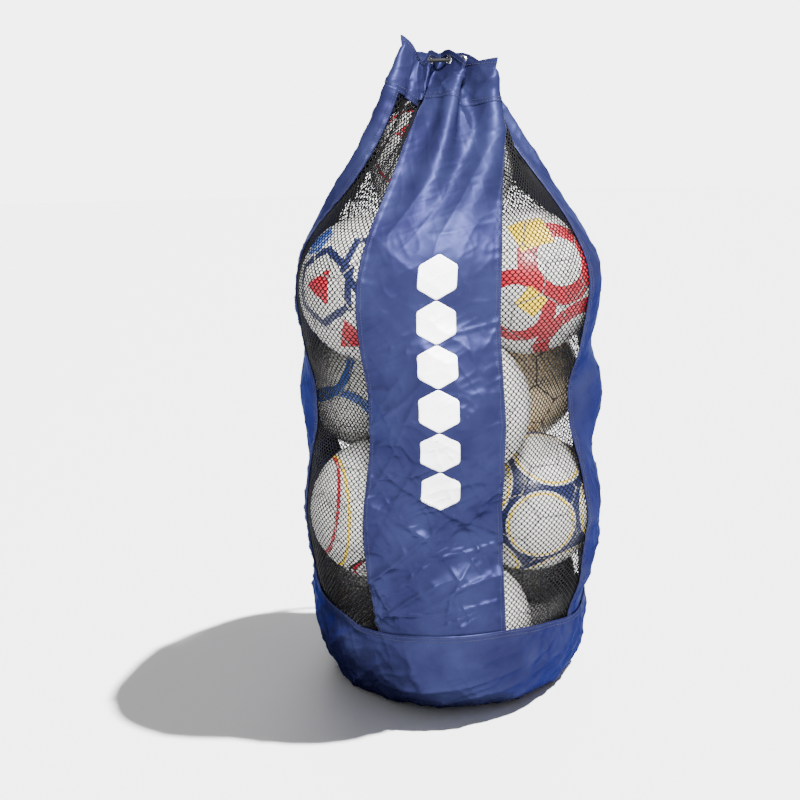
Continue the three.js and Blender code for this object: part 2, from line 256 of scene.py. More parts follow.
def bump(bearing, middle, width):
    return np.exp(-((bearing - middle) / width)**2)


def starting_cloth(fine):
    """Round the base, up the balls, and drawn in from the shoulder to the folds of the neck."""
    table = neck_table()
    knots = [row[0] for row in table]
    column_u = tube_columns(fine)
    cord_line = periodic_spline(knots, [row[1] for row in table], column_u, CLOTH_ROUND)
    hem_line = periodic_spline(knots, [row[2] for row in table], column_u, CLOTH_ROUND)
    bearing = 360 * column_u / CLOTH_ROUND
    spread = np.sin(np.radians(4 * bearing)) * NECK_SPREAD
    fullest = 1.27 + 0.25 * bump(bearing, RIGHT_BEARING, 40) + 0.10 * bump(bearing, LEFT_BEARING, 40)
    rows = []
    for v in tube_rows(fine):
        if v < 0:
            lift = (1 + v / BAND_LENGTH) * math.pi / 2
            height = BAND_TOP * (0.4 * (1 - math.cos(lift)) + 0.6 * lift / (math.pi / 2))
            grown = (skin_radius(bearing, BAND_TOP) - BASE_RADIUS) * math.sin(lift)**0.6
            rows.append(polar(BASE_RADIUS + 0.003 + grown, bearing, max(height, LOWEST_CLOTH)))
        elif v <= EYELET_LINE:
            height = BAND_TOP + (EYELET_HEIGHT - BAND_TOP) * v / EYELET_LINE
            shoulder = float(smoothstep(height, 0.60, 0.74) * (1 - smoothstep(height, 0.80, 0.92)))
            turned = bearing + NECK_TURN * float(smoothstep(height, 0.66, EYELET_HEIGHT))
            turned += spread * float(smoothstep(height, 0.72, 0.90))
            turned += BACK_SHIFT * bump(bearing, BACK_BEARING, 30) * shoulder
            tube = polar(tube_radius(turned, min(height, SKIN_TOP)), turned, height)
            inward = float(np.clip((height - NECK_FROM) / (EYELET_HEIGHT - NECK_FROM), 0, 1))
            outer = ((1 - inward)**fullest)[:, None]
            folded = inward**FOLD_FADE
            line = cord_line + [0, 0, height - EYELET_HEIGHT]
            cone = polar(CONE_RADIUS, turned, height)
            rows.append(tube * outer + cone * (1 - outer - folded) + line * folded)
        else:
            t = (v - EYELET_LINE) / COLLAR_ABOVE
            rows.append(cord_line * (1 - t) + hem_line * t)
    return np.array(rows)


# ---- Cloth settling ----
FULLNESS = 0.7               # how far the solid cloth pushes back when it is too full
NET_FULLNESS = 0.1
TALLNESS = 0.15              # the same, up the bag
STIFFNESS = 0.05             # against bending
NET_STIFFNESS = 0.02
SLANT_PULL, SLANT_PUSH = 0.3, 0.1
PACE = 0.4                   # share of each pull that is made in one step
PRESSURE = 0.000004
WEIGHT = 0.00001
BASE_ROUND = 1.05            # once round the foot of the band
TUCK = 0.03                  # cloth taken up by folds, once round
STAND_OFF = polar(0.132, RIGHT_BEARING, 0.450)      # where the crisp cloth stands off the balls
LOCK_CLEARANCE = 0.0200


def held_in(points):
    """The back pressed in under the run of the cord lock."""
    offset = points - LOCK_CENTRE
    along, across, depth = offset @ RUN_DOWN, offset @ RUN_ACROSS, offset @ RUN_OUT
    beside = np.maximum(np.abs(across) - 0.016, 0)
    limit = -LOCK_CLEARANCE + beside * 0.8 + np.maximum(along - 0.112, 0) * 0.8
    under = (along > -0.03) & (along < 0.16) & (beside < 0.04) & (depth > -0.06)
    return points - RUN_OUT * np.where(under, np.maximum(depth - limit, 0), 0)[..., None]


def bend(points):
    """How far each point lies from the middle of its neighbours."""
    result = (np.roll(points, 1, axis=1) + np.roll(points, -1, axis=1)) / 2 - points
    result[1:-1] += (points[2:] + points[:-2]) / 2 - points[1:-1]
    return result


def pull_together(a, b, rest, pull, push):
    gap = b - a
    length = np.linalg.norm(gap, axis=2, keepdims=True) + 1e-9
    error = (length - rest) / length
    return 0.5 * np.where(error > 0, pull, push) * error * gap


def relax_cloth(points, fine, steps):
    """Settle the cloth: it resists stretch, hangs from the cord, and lies on the balls."""
    v = tube_rows(fine)
    opening = np.sin((1 + np.minimum(v, 0) / BAND_LENGTH) * math.pi / 2)**0.7
    slack = TUCK * (1 - np.exp(-((v - 0.37) / 0.07)**2))
    round_here = BASE_ROUND + (CLOTH_ROUND - slack - BASE_ROUND) * opening
    across = (round_here / points.shape[1])[:, None, None]
    up = np.diff(v)[:, None, None]
    slant = np.sqrt(across[1:]**2 + up**2)
    free = np.ones((len(points), 1, 1))
    free[0] = 0
    free[(BAND_ROWS + BODY_ROWS + LOW_ROWS) * fine:] = 0
    solid = solid_share(tube_columns(fine))[:, None]
    gathered = smoothstep(v, 0.52, 0.72)[:, None, None]
    fullness = NET_FULLNESS * (1 - solid) * (1 - 0.9 * gathered) + FULLNESS * solid * (1 - 0.5 * gathered)
    stiffness = NET_STIFFNESS + (STIFFNESS - NET_STIFFNESS) * solid
    blown = PRESSURE * free * smoothstep(v, -0.1, 0.05)[:, None, None]
    reach = BALL_RADIUS + 0.0016
    for step in range(steps):
        right = np.roll(points, -1, axis=1)
        move = np.zeros_like(points)
        change = pull_together(points, right, across, 1.0, fullness)
        move += change - np.roll(change, 1, axis=1)
        change = pull_together(points[:-1], points[1:], up, 1.0, TALLNESS)
        move[:-1] += change
        move[1:] -= change
        change = pull_together(points[:-1], right[1:], slant, SLANT_PULL, SLANT_PUSH)
        move[:-1] += change
        move[1:] -= np.roll(change, 1, axis=1)
        change = pull_together(right[:-1], points[1:], slant, SLANT_PULL, SLANT_PUSH)
        move[:-1] += np.roll(change, 1, axis=1)
        move[1:] -= change
        points = points + free * (PACE * move - bend(stiffness * bend(points)))
        points[..., 2] -= WEIGHT * free[..., 0]
        outward = points[..., :2] / (np.linalg.norm(points[..., :2], axis=2, keepdims=True) + 1e-6)
        points[..., :2] += blown * outward
        points = np.where(free > 0, held_in(points), points)
        for centre in [*BALLS, STAND_OFF]:
            offset = points - centre
            distance = np.linalg.norm(offset, axis=2)
            inside = distance < reach
            points[inside] = centre + offset[inside] * (reach / distance[inside])[:, None]
        points[..., 2] = np.maximum(points[..., 2], LOWEST_CLOTH)
    return points


def refine(points):
    """Twice as many rows and columns."""
    wide = np.repeat(points, 2, axis=1)
    wide[:, 1::2] = (points + np.roll(points, -1, axis=1)) / 2
    tall = np.repeat(wide, 2, axis=0)[:-1]
    tall[1::2] = (wide[1:] + wide[:-1]) / 2
    return tall


def settled_cloth():
    coarse = relax_cloth(starting_cloth(1), 1, 400)
    return relax_cloth(refine(coarse), FINE, 100)


CLOTH = settled_cloth()
ROW_V = tube_rows(FINE)


# ---- Places on the cloth ----
def spline_weights(t):
    return [(-t**3 + 2 * t**2 - t) / 2, (3 * t**3 - 5 * t**2 + 2) / 2,
            (-3 * t**3 + 4 * t**2 + t) / 2, (t**3 - t**2) / 2]


def cloth_point(u, v):
    """Where the cloth is, u metres of cloth round from the front and v up from the base seam."""
    u, v = np.broadcast_arrays(np.asarray(u, float), np.asarray(v, float))
    x = u / CLOTH_ROUND * COLUMNS
    y = np.interp(v, ROW_V, np.arange(len(ROW_V)))
    i = np.floor(x).astype(int)
    j = np.minimum(np.floor(y).astype(int), len(ROW_V) - 2)
    across = spline_weights(x - i)
    up = spline_weights(y - j)
    result = np.zeros(u.shape + (3,))
    for b in range(4):
        row = np.clip(j + b - 1, 0, len(ROW_V) - 1)
        for a in range(4):
            result += (across[a] * up[b])[..., None] * CLOTH[row, (i + a - 1) % COLUMNS]
    return result


def cloth_normal(u, v, step=0.003):
    across = cloth_point(u + step, v) - cloth_point(u - step, v)
    up = cloth_point(u, v + step) - cloth_point(u, v - step)
    return unit(np.cross(across, up))


def raised(u, v, lift):
    """Places lifted off the cloth, and the directions in which they are lifted."""
    normal = cloth_normal(u, v)
    return cloth_point(u, v) + normal * np.asarray(lift)[..., None], normal


# The base seam isn't level: bearing, and height of cloth over the nominal seam.
SEAM_LEVELS = [(-104, 0.050), (-64, 0.058), (-46, 0.040), (-34, 0.022), (-4, 0.036), (24, 0.040),
               (45, 0.028), (66, 0.010), (106, 0.000), (160, 0.004), (220, 0.030)]


def seam_v(u):
    knots = [CLOTH_ROUND * bearing / 360 for bearing, _ in SEAM_LEVELS]
    levels = [[height] for _, height in SEAM_LEVELS]
    u = np.asarray(u, float)
    return periodic_spline(knots, levels, u.ravel(), CLOTH_ROUND)[:, 0].reshape(u.shape)


# ---- Relief ----
# Creases of crisp nylon: degrees from level, spacing, length over spacing, height.
CREASES = [(38, 0.062, 3.0, 0.0042), (-32, 0.047, 3.4, 0.0034), (12, 0.028, 3.0, 0.0025),
           (66, 0.034, 3.0, 0.0021), (-58, 0.017, 3.0, 0.0016), (25, 0.013, 3.0, 0.0014)]


def lattice(x, y, seed):
    """Smooth noise from 0 to 1."""
    table = np.random.default_rng(seed).random((64, 64))
    i, j = np.floor(x).astype(int), np.floor(y).astype(int)
    s, t = smoothstep(x - i, 0, 1), smoothstep(y - j, 0, 1)
    low = table[i % 64, j % 64] * (1 - s) + table[(i + 1) % 64, j % 64] * s
    high = table[i % 64, (j + 1) % 64] * (1 - s) + table[(i + 1) % 64, (j + 1) % 64] * s
    return low * (1 - t) + high * t


def creased(u, v, seed):
    height = np.zeros(np.broadcast(u, v).shape)
    for k, (angle, spacing, stretch, size) in enumerate(CREASES):
        c, s = math.cos(math.radians(angle)), math.sin(math.radians(angle))
        along = (u * c + v * s) / (spacing * stretch)
        off = (v * c - u * s) / spacing
        fold = 1 - np.abs(2 * lattice(along + 11 * k, off + 7 * k, seed + k) - 1)
        height += size * (fold**4 - 0.15)
    return height


def creased_ring(u, v, seed):
    """The same for a piece that goes all the way round, joined smoothly at the back."""
    u = (u + CLOTH_ROUND / 2) % CLOTH_ROUND
    join = smoothstep(u, CLOTH_ROUND - 0.12, CLOTH_ROUND)
    return creased(u, v, seed) * (1 - join) + creased(u - CLOTH_ROUND, v, seed) * join


# ---- Meshes ----
def mesh_object(name, points, faces, material, slot, body="bag", replaces=()):
    """faces is one array, or a list of arrays with different numbers of corners."""
    groups = faces if isinstance(faces, list) else [faces]
    mesh = bpy.data.meshes.new(name)
    mesh.vertices.add(len(points))
    mesh.vertices.foreach_set("co", np.asarray(points, np.float32).ravel())
    corners = np.concatenate([g.ravel() for g in groups]).astype(np.int32)
    sizes = np.concatenate([np.full(len(g), g.shape[1]) for g in groups])
    mesh.loops.add(len(corners))
    mesh.loops.foreach_set("vertex_index", corners)
    mesh.polygons.add(len(sizes))
    starts = np.concatenate([[0], np.cumsum(sizes)[:-1]])
    mesh.polygons.foreach_set("loop_start", starts.astype(np.int32))
    mesh.update(calc_edges=True)
    mesh.polygons.foreach_set("use_smooth", np.full(len(sizes), True))
    mesh.materials.append(material)
    obj = bpy.data.objects.new(name, mesh)
    bpy.context.scene.collection.objects.link(obj)
    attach(obj, body)
    if replaces:
        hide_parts(*replaces)
    return obj


def quads_of(index):
    """The faces between the rows and columns of a grid of point numbers, or of several grids."""
    corners = [index[..., :-1, :-1], index[..., :-1, 1:], index[..., 1:, 1:], index[..., 1:, :-1]]
    return np.stack(corners, -1).reshape(-1, 4)


def closed(index):
    """A grid of point numbers with its first column again at the end."""
    return np.concatenate([index, index[..., :1]], axis=-1)


def grid_faces(rows, columns, wrap=False):
    index = np.arange(rows * columns).reshape(rows, columns)
    return quads_of(closed(index) if wrap else index)


def both_sides(quads, total):
    """The faces of a thick sheet from those of its outer side. The inner points follow the outer ones."""
    edges = np.concatenate([quads[:, [k, (k + 1) % 4]] for k in range(4)])
    key = edges.min(axis=1) * total + edges.max(axis=1)
    _, first, count = np.unique(key, return_index=True, return_counts=True)
    border = edges[first[count == 1]]
    walls = np.stack([border[:, 1], border[:, 0], border[:, 0] + total, border[:, 1] + total], -1)
    return np.concatenate([quads, quads[:, ::-1] + total, walls])


def sheet_object(name, u, v, lift, wrap=False, keep=None, replaces=()):
    """A piece of the nylon over the grid (u, v), its outer face lifted off the cloth's own place."""
    outer, normal = raised(u, v, lift)
    inner = outer - normal * CLOTH_THICK
    points = np.concatenate([outer.reshape(-1, 3), inner.reshape(-1, 3)])
    points[:, 2] = np.maximum(points[:, 2], LOWEST_FACE)
    quads = grid_faces(*u.shape, wrap)
    if keep is not None:
        quads = quads[keep.ravel()]
    return mesh_object(name, points, both_sides(quads, u.size), NYLON, "nylon", replaces=replaces)


def even_path(points, spacing):
    """The smooth line through some points, as points at even distances."""
    p = np.asarray(points, float)
    p = np.vstack([2 * p[0] - p[1], p, 2 * p[-1] - p[-2]])
    knots = np.concatenate([[0], np.cumsum(np.sqrt(np.linalg.norm(np.diff(p, axis=0), axis=1)))])
    line = []
    for k in range(1, len(p) - 2):
        t = np.linspace(knots[k], knots[k + 1], 24, endpoint=False)[:, None]
        t0, t1, t2, t3 = knots[k - 1:k + 3]
        a1 = (t1 - t) / (t1 - t0) * p[k - 1] + (t - t0) / (t1 - t0) * p[k]
        a2 = (t2 - t) / (t2 - t1) * p[k] + (t - t1) / (t2 - t1) * p[k + 1]
        a3 = (t3 - t) / (t3 - t2) * p[k + 1] + (t - t2) / (t3 - t2) * p[k + 2]
        b1 = (t2 - t) / (t2 - t0) * a1 + (t - t0) / (t2 - t0) * a2
        b2 = (t3 - t) / (t3 - t1) * a2 + (t - t1) / (t3 - t1) * a3
        line.append((t2 - t) / (t2 - t1) * b1 + (t - t1) / (t2 - t1) * b2)
    line = np.vstack([*line, p[-2]])
    distance = travelled(line)
    return read_line(np.linspace(0, distance[-1], int(distance[-1] / spacing) + 2), distance, line)


def tube_mesh(path, radius, sides):
    """Points and faces of a round tube along a path, with closed ends. radius may be a grid."""
    tangent = unit(np.gradient(path, axis=0))
    side = np.cross(tangent[0], [0.3, 0.2, 0.93])
    frames = []
    for direction in tangent:
        side = side - direction * np.dot(side, direction)
        side = side / np.linalg.norm(side)
        frames.append((side, np.cross(direction, side)))
    frames = np.array(frames)
    ring = circle(turns(sides), frames[:, :1], frames[:, 1:])
    radius = np.broadcast_to(radius, (len(path), sides))
    points = (path[:, None] + ring * radius[..., None]).reshape(-1, 3)
    first = np.arange(sides)
    caps = np.stack([first[::-1], first + len(points) - sides])
    return points, [grid_faces(len(path), sides, True), caps]


# ---- Materials ----
def from_screen(red, green, blue):
    """A colour as a screen shows it, 0 to 255, as the linear colour that the renderer uses."""
    return [((c / 255 + 0.055) / 1.055)**2.4 if c > 10 else c / 3295 for c in (red, green, blue)] + [1.0]


def add_node(owner, kind, **inputs):
    """A shader node of a material or of the world, with some of its inputs set."""
    node = owner.node_tree.nodes.new(kind)
    for name, value in inputs.items():
        node.inputs[name.replace("_", " ")].default_value = value
    return node


def calculate(owner, kind, operation):
    node = add_node(owner, kind)
    node.operation = operation
    return node


def link(owner, source, target):
    owner.node_tree.links.new(source, target)


def shader_of(material):
    return material.node_tree.nodes["Principled BSDF"]


def new_material(name, colour, roughness, **sockets):
    """A material with this colour and roughness, and with other sockets of its shader set by name."""
    material = bpy.data.materials.new(name)
    material.use_nodes = True
    for socket, value in {"Base_Color": colour, "Roughness": roughness, **sockets}.items():
        shader_of(material).inputs[socket.replace("_", " ")].default_value = value
    return material


def object_place(material):
    return add_node(material, "ShaderNodeTexCoord").outputs["Object"]


def clouds(material, scale, detail):
    noise = add_node(material, "ShaderNodeTexNoise", Scale=scale, Detail=detail)
    link(material, object_place(material), noise.inputs["Vector"])
    return noise


def mix_colours(material, factor, first, second):
    """A socket that goes from the first colour to the second. The first may be a socket too."""
    mix = add_node(material, "ShaderNodeMix")
    mix.data_type = "RGBA"
    blend, a, b = mix.inputs[0], mix.inputs[6], mix.inputs[7]
    link(material, factor, blend)
    b.default_value = second
    if isinstance(first, list):
        a.default_value = first
    else:
        link(material, first, a)
    return mix.outputs[2]


def mottle(material, colours, scale):
    """The base colour drifts between two colours."""
    cloud = clouds(material, scale, 4.0)
    ramp = add_node(material, "ShaderNodeValToRGB")
    for element, position, colour in zip(ramp.color_ramp.elements, (0.35, 0.65), colours):
        element.position = position
        element.color = colour
    link(material, cloud.outputs["Fac"], ramp.inputs["Fac"])
    link(material, ramp.outputs["Color"], shader_of(material).inputs["Base Color"])


def crumple(material):
    """Small flat facets, as crisp cloth has once it has been folded."""
    drift = clouds(material, 9.0, 2.0)
    shift = calculate(material, "ShaderNodeVectorMath", "MULTIPLY_ADD")
    shift.inputs[1].default_value = (0.05, 0.05, 0.05)
    link(material, drift.outputs["Color"], shift.inputs[0])
    link(material, object_place(material), shift.inputs[2])
    normal = None
    for scale, strength in ((22.0, 0.75), (60.0, 0.6)):
        cells = add_node(material, "ShaderNodeTexVoronoi", Scale=scale)
        facets = add_node(material, "ShaderNodeBump", Strength=strength, Distance=0.035 / scale)
        link(material, shift.outputs[0], cells.inputs["Vector"])
        link(material, cells.outputs["Distance"], facets.inputs["Height"])
        if normal:
            link(material, normal, facets.inputs["Normal"])
        normal = facets.outputs["Normal"]
    link(material, normal, shader_of(material).inputs["Normal"])


def roughen(material, scale, strength):
    """Fine bumps, 0.2 mm high."""
    grain = clouds(material, scale, 3.0)
    bumps = add_node(material, "ShaderNodeBump", Strength=strength, Distance=0.0002)
    link(material, grain.outputs["Fac"], bumps.inputs["Height"])
    link(material, bumps.outputs["Normal"], shader_of(material).inputs["Normal"])


def grainy(name, colour, roughness, scale, strength, **sockets):
    """A material of one colour with fine bumps."""
    material = new_material(name, from_screen(*colour), roughness, **sockets)
    roughen(material, scale, strength)
    return material


# Satin nylon gives back blue light, not white, so half of it is a metallic lobe with a dark rim.
NYLON = new_material("nylon_navy", from_screen(32, 32, 62), 0.46, Metallic=0.5,
                     Specular_IOR_Level=0.0, Specular_Tint=(0.30, 0.36, 0.60, 1.0))
mottle(NYLON, (from_screen(28, 29, 57), from_screen(37, 40, 70)), 14.0)
crumple(NYLON)
NYLON_DARK = grainy("nylon_inside", (30, 38, 84), 0.6, 1800.0, 0.25)
NET = grainy("net_black", (9, 9, 10), 0.7, 2500.0, 0.3, Specular_IOR_Level=0.06)
THREAD = grainy("thread", (15, 18, 44), 0.7, 4000.0, 0.4)
PRINT = grainy("print_white", (238, 238, 242), 0.45, 1800.0, 0.2)
NICKEL = grainy("nickel", (205, 205, 203), 0.22, 900.0, 0.08, Metallic=1.0)
CORD = grainy("cord_black", (12, 12, 13), 0.7, 3500.0, 0.4, Specular_IOR_Level=0.2)
PLASTIC = grainy("lock_plastic", (26, 26, 28), 0.38, 1400.0, 0.12)
STEEL = grainy("spring_steel", (170, 170, 172), 0.28, 1600.0, 0.1, Metallic=1.0)


def ball_material(name, base, layers, seam_colour):
    """Leather with painted layers. Each layer reads one attribute, a distance in metres: it fills
    where that is above 0, or draws a line of the given width where it passes 0."""
    material = new_material(name, base, 0.38, Coat_Weight=0.12)
    dirt = clouds(material, 24.0, 5.0)
    shade = add_node(material, "ShaderNodeMapRange", From_Min=0.45, From_Max=0.75)
    link(material, dirt.outputs["Fac"], shade.inputs["Value"])
    colour = mix_colours(material, shade.outputs["Result"], base, [c * 0.78 for c in base[:3]] + [1.0])
    for attribute, paint, width in [*layers, ("seam", seam_colour, 0.0022)]:
        read = add_node(material, "ShaderNodeAttribute")
        read.attribute_name = attribute
        distance = read.outputs["Fac"]
        if width:
            size = calculate(material, "ShaderNodeMath", "ABSOLUTE")
            inside = calculate(material, "ShaderNodeMath", "SUBTRACT")
            inside.inputs[0].default_value = width / 2
            link(material, distance, size.inputs[0])
            link(material, size.outputs[0], inside.inputs[1])
            distance = inside.outputs[0]
        edge = add_node(material, "ShaderNodeMapRange", From_Min=-0.0002, From_Max=0.0002)
        link(material, distance, edge.inputs["Value"])
        colour = mix_colours(material, edge.outputs["Result"], colour, paint)
    link(material, colour, shader_of(material).inputs["Base Color"])
    roughen(material, 1100.0, 0.18)
    return material


# ---- Camera ----
MIDDLE = Vector((0, 0, 0.5))                 # of the bag
CAMERA_BEARING = 6.0
CAMERA_RISE = 11.2
CAMERA_DISTANCE = 1.8
CAMERA_ROLL = 0.025
AIM_LEFT, AIM_BELOW = 0.0744, 0.0593         # where the camera points, from the middle of the bag


def placed_camera():
    outward = Vector(towards(CAMERA_BEARING, CAMERA_RISE))
    right = Vector(polar(1.0, CAMERA_BEARING + 90, 0))
    up = outward.cross(right)
    place = MIDDLE + outward * CAMERA_DISTANCE
    back = (place - (MIDDLE - right * AIM_LEFT - up * AIM_BELOW)).normalized()
    leaning = up * math.cos(CAMERA_ROLL) + right * math.sin(CAMERA_ROLL)
    across = leaning.cross(back).normalized()
    data = bpy.data.cameras.new("camera")
    data.lens = 51.5
    camera = bpy.data.objects.new("camera", data)
    rotation = Matrix((across, back.cross(across), back)).transposed()
    camera.matrix_world = Matrix.Translation(place) @ rotation.to_4x4()
    bpy.context.scene.collection.objects.link(camera)
    bpy.context.scene.camera = camera


placed_camera()

# ---- Drawcord ----
CORD_RADIUS = 0.00275
CORD_SPACING = 0.0062
BRAID_STRANDS = 8
BRAID_PITCH = 0.0125
BRAID_STEP = 0.0006
PATH_STEP = 0.004
# The hanging ends: distance from the axis, height, and how far each is moved sideways.
HANGING = [(0.153, 0.829, 0.0002), (0.161, 0.814, 0.0005), (0.170, 0.796, 0.001), (0.181, 0.774, 0.0016),
           (0.193, 0.751, 0.0022), (0.206, 0.7285, 0.0028), (0.217, 0.7115, 0.0033), (0.2275, 0.697, 0.0037),
           (0.237, 0.682, 0.004), (0.2445, 0.666, 0.0043), (0.2486, 0.650, 0.0045), (0.2503, 0.632, 0.0046),
           (0.2506, 0.610, 0.0045), (0.2506, 0.580, 0.0041), (0.2504, 0.540, 0.0032), (0.250, 0.500, 0.0019),
           (0.2496, 0.465, 0.0006), (0.2494, 0.440, 0.0)]
# From the lock to the first eyelet: distance from the axis, degrees from the run, and height.
LEAD_CURVE = [(0.057, 5.5, 0.9465), (0.046, 9.5, 0.9498), (0.0385, 14.5, 0.9517)]
KNOT_RADIUS = 0.2494         # distance of the knot from the axis of the bag
KNOT_TURNS, KNOT_WIDE, KNOT_HIGH = 3.2, 0.0056, 0.0150
CORD_SIDES = {"left": -1, "right": 1}


def braided_cord(name, path, replaces=()):
    """A round braid: strands of two hands, each passing over and under the other."""
    sides = 32
    path = even_path(path, BRAID_STEP)
    along = np.arange(len(path))[:, None] * BRAID_STEP * 2 * math.pi / BRAID_PITCH
    angle = turns(sides)[None]
    right = BRAID_STRANDS * (angle + along) / 2
    left = BRAID_STRANDS * (angle - along) / 2
    over = 0.5 + 0.5 * np.sin(right + left) * np.sign(np.sin(right - left) + 1e-9)
    strands = np.abs(np.cos(right)) * over + np.abs(np.cos(left)) * (1 - over)
    radius = CORD_RADIUS * (0.88 + 0.12 * strands)
    radius[[0, -1]] *= 0.6
    return mesh_object(name, *tube_mesh(path, radius, sides), CORD, "cord", replaces=replaces)


def run_point(along, across, out=0.0):
    return LOCK_CENTRE + along * RUN_DOWN + across * RUN_ACROSS + out * RUN_OUT


def tail_path(side):
    straight = [run_point(x, side * CORD_SPACING / 2) for x in np.linspace(-0.0256, 0.088, 7)]
    hanging = [polar(r, RUN_BEARING, z) + side * (CORD_SPACING / 2 + aside) * RUN_ACROSS
               for r, z, aside in HANGING]
    return even_path(straight + hanging, PATH_STEP)


def loop_path():
    def lead(side):
        across = side * CORD_SPACING / 2
        curve = [polar(r, RUN_BEARING + side * turn, z) for r, turn, z in LEAD_CURVE]
        return [run_point(-0.026, across), run_point(-0.034, across, 0.0004), *curve]
    bearings = np.linspace(RUN_BEARING + 20, RUN_BEARING + 340, 17)
    ring = [polar(EYELET_RING, bearing, EYELET_HEIGHT) for bearing in bearings]
    return even_path(lead(1) + ring + lead(-1)[::-1], PATH_STEP)


def knot_path():
    """A stopper knot: both cords wound together, with two short ends below."""
    t = np.linspace(0, 1, 60)
    coil = KNOT_WIDE * circle(2 * math.pi * KNOT_TURNS * t, RUN_ACROSS, polar(1.0, RUN_BEARING, 0.0))
    return polar(KNOT_RADIUS, RUN_BEARING, 0.4375) + coil - np.outer(KNOT_HIGH * t, [0, 0, 1])


tails = {}
for word, side in CORD_SIDES.items():
    path = tail_path(side)
    tails[word] = (braided_cord(f"hanging_cord_{word}", path, [f"drawcord_end_{word}"]), path)
braided_cord("threaded_cord", loop_path(), ["drawcord_loop"])
knot = braided_cord("stopper_knot", knot_path(), ["cord_knot"])
knot_foot = polar(KNOT_RADIUS, RUN_BEARING, 0.4250)
for word, side in CORD_SIDES.items():
    tip = [knot_foot + side * aside * RUN_ACROSS - [0, 0, down]
           for aside, down in ((0.003, 0.0), (0.0045, 0.006), (0.0065, 0.019))]
    end = braided_cord(f"cord_tip_{word}", even_path(tip, 0.002))
    tail, path = tails[word]

# ---- Balls ----
GOLDEN = (1 + math.sqrt(5)) / 2
SIGNED = [(s, t * GOLDEN) for s in (-1, 1) for t in (-1, 1)]
ICOSA = unit(np.array([(0, a, b) for a, b in SIGNED] + [(a, b, 0) for a, b in SIGNED]
                      + [(b, 0, a) for a, b in SIGNED], float))
PANEL_RINGS = np.concatenate([np.linspace(0.08, 0.86, 12), [0.90, 0.93, 0.955, 0.975, 0.99, 1.0]])
PER_SIDE = 12
PUFF = 0.0004                # how far the leather swells between its seams
GROOVE_DEPTH = 0.0011
GROOVE_WIDTH = 0.0012


def leather_panels():
    """The corners of a football's 12 five-sided and 20 six-sided panels, in order round each."""
    near = [[j for j in range(12) if 0.3 < ICOSA[i] @ ICOSA[j] < 0.9] for i in range(12)]
    panels = [[(2 * ICOSA[i] + ICOSA[j]) / 3 for j in near[i]] for i in range(12)]
    for i in range(12):
        for j in near[i]:
            for k in near[i]:
                if i < j < k and k in near[j]:
                    trio = (ICOSA[i], ICOSA[j], ICOSA[k])
                    panels.append([(2 * a + b) / 3 for a in trio for b in trio if a is not b])
    ordered = []
    for corners in panels:
        corners = np.array(corners)
        centre = corners.mean(axis=0)
        first = unit(corners[0] - centre)
        second = np.cross(unit(centre), first)
        turn = np.arctan2((corners - centre) @ second, (corners - centre) @ first)
        ordered.append(corners[np.argsort(turn)])
    return ordered


def ball_mesh():
    """Directions, distance from the nearest seam, and faces of one ball."""
    directions, distances, triangles, quads, start = [], [], [], [], 0
    for corners in leather_panels():
        centre = corners.mean(axis=0)
        following = np.roll(corners, -1, axis=0)
        part = np.tile(np.arange(PER_SIDE) / PER_SIDE, len(corners))[:, None]
        edge = np.repeat(corners, PER_SIDE, axis=0) * (1 - part)
        edge += np.repeat(following, PER_SIDE, axis=0) * part
        flat = centre + (edge - centre) * PANEL_RINGS[:, None, None]
        points = unit(np.vstack([centre[None], flat.reshape(-1, 3)]))
        walls = unit(np.cross(corners, following))
        directions.append(points)
        distances.append(BALL_RADIUS * np.arcsin(np.clip((points @ walls.T).min(axis=1), 0, 1)))
        index = closed(start + 1 + np.arange(len(points) - 1).reshape(len(PANEL_RINGS), len(edge)))
        triangles.append(np.stack([np.full(len(edge), start), index[0, :-1], index[0, 1:]], -1))
        quads.append(quads_of(index)[:, [0, 3, 2, 1]])
        start += len(points)
    return np.vstack(directions), np.concatenate(distances), [np.vstack(triangles), np.vstack(quads)]


BALL_DIRECTIONS, SEAM_DISTANCE, BALL_FACES = ball_mesh()


def random_turn(seed):
    """A rotation picked by the seed."""
    q, _ = np.linalg.qr(np.random.default_rng(seed).normal(size=(3, 3)))
    return q * np.sign(np.linalg.det(q))


def ring_field(directions, bearing, rise, reach):
    """Distance outside a circle on the ball: reach is its angle from its centre."""
    angle = np.arccos(np.clip(directions @ towards(bearing, rise), -1, 1))
    return BALL_RADIUS * (angle - math.radians(reach))


def disc_field(directions, seed, reach):
    """Distance inside the nearest of twelve discs spread evenly over the ball."""
    centres = ICOSA @ random_turn(seed).T
    angle = np.arccos(np.clip((directions @ centres.T).max(axis=1), -1, 1))
    return BALL_RADIUS * (math.radians(reach) - angle)


def patch_field(directions, bearing, rise, reach, sides, twist=0.0):
    """Distance inside a patch with straight sides."""
    centre = towards(bearing, rise)
    first = unit(np.cross([0, 0, 1], centre))
    outward = circle(np.radians(twist) + turns(sides), first, np.cross(centre, first))
    inside = BALL_RADIUS * (math.sin(math.radians(reach)) - (directions @ outward.T).max(axis=1))
    return np.where(directions @ centre > 0, inside, -0.1)


WHITE = from_screen(226, 225, 221)
NAVY = from_screen(30, 38, 84)
BLUE = from_screen(44, 84, 170)
RED = from_screen(180, 16, 40)
YELLOW = from_screen(255, 214, 0)
BLACK = from_screen(24, 24, 28)
TAN = from_screen(255, 230, 190)
PALE_SEAM = from_screen(150, 148, 146)
BROWN_SEAM = from_screen(58, 40, 28)
